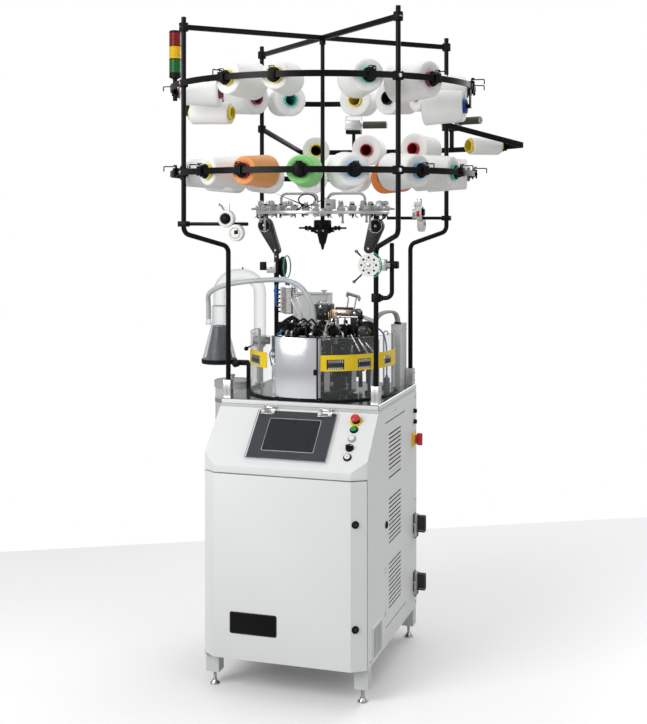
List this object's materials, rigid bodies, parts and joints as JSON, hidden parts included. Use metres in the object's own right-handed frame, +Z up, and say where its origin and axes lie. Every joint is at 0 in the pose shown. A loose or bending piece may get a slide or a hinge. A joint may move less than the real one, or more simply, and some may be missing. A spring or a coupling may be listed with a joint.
{
  "type": "industrial knitting machine",
  "caption": "Free-standing circular sock knitting machine: grey cabinet with operator console, glazed knitting head on a steel table and a black bobbin creel above.",
  "frame": {"origin": "centre of the machine's footprint box at floor level, under the levelling feet", "axes": "+Z up, -Y towards the operator (front door and console), +X to the operator's right (main switch side)"},
  "size_m": [1.3376, 1.4636, 2.406],
  "materials": {
    "belt_rubber": "black rubber",
    "black_paint": "semi-gloss black paint",
    "black_plastic": "matte black",
    "cabinet_paint": "satin light grey powder coat",
    "cast_aluminium": "machined aluminium",
    "clear_plastic": "clear polycarbonate",
    "core_plastic": "dyed moulding",
    "feet_steel": "zinc plated",
    "frame_paint": "satin grey paint",
    "green_plastic": "gloss green",
    "hose_plastic": "ribbed hose and cable sheath",
    "motor_paint": "dark grey paint",
    "red_plastic": "gloss red",
    "smoked_glass": "smoked clear plastic",
    "stainless": "polished stainless steel",
    "terminal_plastic": "dark textured plastic",
    "tool_steel": "ground steel",
    "white_plastic": "gloss white",
    "yarn": "wound yarn",
    "yellow_paint": "gloss yellow"
  },
  "bodies": {
    "machine": {"base_frame": "frame_paint", "centre_frame": "black_paint", "centre_guide_head": "motor_paint", "clear_pipe": "clear_plastic", "collection_pot": "clear_plastic", "connector_housings": "cast_aluminium", "console_fittings": "black_plastic", "console_panel": "cabinet_paint", "creel_poles": "black_paint", "creel_ring_lower": "black_paint", "creel_ring_upper": "black_paint", "drive_belt": "belt_rubber", "elastic_feeders": "motor_paint", "feeder_ring": "cast_aluminium", "flask_bracket": "cast_aluminium", "flask_filter": "tool_steel", "guard_band": "yellow_paint", "guard_cylinder": "clear_plastic", "head_housing": "cast_aluminium", "hoses_and_cables": "hose_plastic", "left_rear_cover": "cabinet_paint", "levelling_feet": "feet_steel", "main_motor": "motor_paint", "operator_terminal": "terminal_plastic", "package_cores": "core_plastic", "package_holders": "black_paint", "rear_ring": "black_paint", "right_side_panel": "cabinet_paint", "roller_drives": "cast_aluminium", "signal_tower": "yellow_paint", "suction_flask": "smoked_glass", "table_housings": "cabinet_paint", "table_plate": "stainless", "tension_arms": "black_plastic", "yarn_feeders": "white_plastic", "yarn_packages": "yarn"},
    "front_door": {"front_door": "cabinet_paint"},
    "door_lock_upper": {"door_lock_upper": "black_plastic"},
    "door_lock_lower": {"door_lock_lower": "black_plastic"},
    "screen_cover": {"screen_cover": "clear_plastic"},
    "emergency_stop_button": {"emergency_stop_button": "red_plastic"},
    "start_button": {"start_button": "green_plastic"},
    "reset_button": {"reset_button": "white_plastic"},
    "selector_knob": {"selector_knob": "black_plastic"},
    "jog_button": {"jog_button": "white_plastic"},
    "main_switch_handle": {"main_switch_handle": "red_plastic"},
    "connector_lever_upper": {"connector_lever_upper": "tool_steel"},
    "connector_lever_lower": {"connector_lever_lower": "tool_steel"},
    "needle_cylinder": {"needle_cylinder": "tool_steel"},
    "dial_bridge": {"dial_bridge": "cast_aluminium"},
    "dial": {"dial": "tool_steel"},
    "motor_pulley": {"motor_pulley": "cast_aluminium"},
    "feeder_wheel_left": {"feeder_wheel_left": "tool_steel"},
    "feeder_wheel_right": {"feeder_wheel_right": "tool_steel"},
    "elastic_disc_right": {"elastic_disc_right": "white_plastic"},
    "elastic_disc_left": {"elastic_disc_left": "white_plastic"},
    "drive_roller_left": {"drive_roller_left": "tool_steel"},
    "drive_roller_right": {"drive_roller_right": "tool_steel"},
    "guard_door": {"guard_door": "clear_plastic"},
    "head_lever": {"head_lever": "tool_steel"}
  },
  "joints": [
    {"name": "front_door_swing", "type": "hinge", "parent": "machine", "child": "front_door", "pos_m": [-0.32425, -0.58623, 0.44], "axis": [0, 0, -1], "range_deg": [0, 110]},
    {"name": "door_lock_upper_turn", "type": "hinge", "parent": "front_door", "child": "door_lock_upper", "pos_m": [0.23438, -0.61091, 0.621], "axis": [0.5843, -0.8115, 0], "range_deg": [0, 90]},
    {"name": "door_lock_lower_turn", "type": "hinge", "parent": "front_door", "child": "door_lock_lower", "pos_m": [0.23438, -0.61091, 0.265], "axis": [0.5843, -0.8115, 0], "range_deg": [0, 90]},
    {"name": "screen_cover_lift", "type": "hinge", "parent": "machine", "child": "screen_cover", "pos_m": [-0.02625, -0.44733, 0.9762], "axis": [-1, 0, 0], "range_deg": [0, 100]},
    {"name": "emergency_stop_press", "type": "slide", "parent": "machine", "child": "emergency_stop_button", "axis": [0, 0.7009, -0.7133], "range_m": [0, 0.004]},
    {"name": "start_press", "type": "slide", "parent": "machine", "child": "start_button", "axis": [0, 0.7009, -0.7133], "range_m": [0, 0.003], "stiffness_N_per_m": 600, "springref_m": -0.001},
    {"name": "reset_press", "type": "slide", "parent": "machine", "child": "reset_button", "axis": [0, 0.7009, -0.7133], "range_m": [0, 0.003], "stiffness_N_per_m": 600, "springref_m": -0.001},
    {"name": "jog_press", "type": "slide", "parent": "machine", "child": "jog_button", "axis": [0, 0.7009, -0.7133], "range_m": [0, 0.003], "stiffness_N_per_m": 600, "springref_m": -0.001},
    {"name": "selector_turn", "type": "hinge", "parent": "machine", "child": "selector_knob", "pos_m": [0.19675, -0.5487, 0.8668], "axis": [0, -0.7009, 0.7133], "range_deg": [-45, 45]},
    {"name": "main_switch_turn", "type": "hinge", "parent": "machine", "child": "main_switch_handle", "pos_m": [0.27075, 0.09126, 0.79], "axis": [1, 0, 0], "range_deg": [0, 90]},
    {"name": "connector_lever_upper_swing", "type": "hinge", "parent": "machine", "child": "connector_lever_upper", "pos_m": [0.27975, 0.10526, 0.455], "axis": [0, -1, 0], "range_deg": [0, 90]},
    {"name": "connector_lever_lower_swing", "type": "hinge", "parent": "machine", "child": "connector_lever_lower", "pos_m": [0.27975, 0.10526, 0.227], "axis": [0, -1, 0], "range_deg": [0, 90]},
    {"name": "needle_cylinder_spin", "type": "hinge", "parent": "machine", "child": "needle_cylinder", "pos_m": [-0.02925, -0.14474, 1.1], "axis": [0, 0, 1], "continuous": true},
    {"name": "dial_bridge_lift", "type": "hinge", "parent": "machine", "child": "dial_bridge", "pos_m": [0.10575, -0.14474, 1.3], "axis": [0, 1, 0], "range_deg": [0, 70]},
    {"name": "dial_spin", "type": "hinge", "parent": "dial_bridge", "child": "dial", "pos_m": [-0.02925, -0.14474, 1.25], "axis": [0, 0, 1], "continuous": true},
    {"name": "motor_pulley_spin", "type": "hinge", "parent": "machine", "child": "motor_pulley", "pos_m": [-0.02925, 0.00526, 0.962], "axis": [0, 0, 1], "continuous": true},
    {"name": "feeder_wheel_left_spin", "type": "hinge", "parent": "machine", "child": "feeder_wheel_left", "pos_m": [-0.25325, -0.58023, 1.659], "axis": [0, -1, 0], "continuous": true},
    {"name": "feeder_wheel_right_spin", "type": "hinge", "parent": "machine", "child": "feeder_wheel_right", "pos_m": [0.27075, 0.25827, 1.683], "axis": [1, 0, 0], "continuous": true},
    {"name": "elastic_disc_right_spin", "type": "hinge", "parent": "machine", "child": "elastic_disc_right", "pos_m": [0.23875, -0.45474, 1.496], "axis": [0, 1, 0], "continuous": true},
    {"name": "elastic_disc_left_spin", "type": "hinge", "parent": "machine", "child": "elastic_disc_left", "pos_m": [-0.19125, -0.13073, 1.471], "axis": [-1, 0, 0], "continuous": true},
    {"name": "drive_roller_left_spin", "type": "hinge", "parent": "machine", "child": "drive_roller_left", "pos_m": [-0.1472, 0.69452, 2.077], "axis": [0.9903, 0.1392, 0], "continuous": true},
    {"name": "drive_roller_right_spin", "type": "hinge", "parent": "machine", "child": "drive_roller_right", "pos_m": [0.31546, 0.62949, 2.077], "axis": [0.9135, -0.4067, 0], "continuous": true},
    {"name": "guard_door_slide", "type": "hinge", "parent": "machine", "child": "guard_door", "pos_m": [-0.02925, -0.14474, 1.12], "axis": [0, 0, -1], "range_deg": [0, 35]},
    {"name": "head_lever_turn", "type": "hinge", "parent": "machine", "child": "head_lever", "pos_m": [0.04075, -0.20974, 1.29], "axis": [0, 0, 1], "range_deg": [-25, 15]}
  ],
  "couplings": [
    {"joint": "dial_spin", "follows": "needle_cylinder_spin", "ratio": 1},
    {"joint": "motor_pulley_spin", "follows": "needle_cylinder_spin", "ratio": 2.3333}
  ]
}
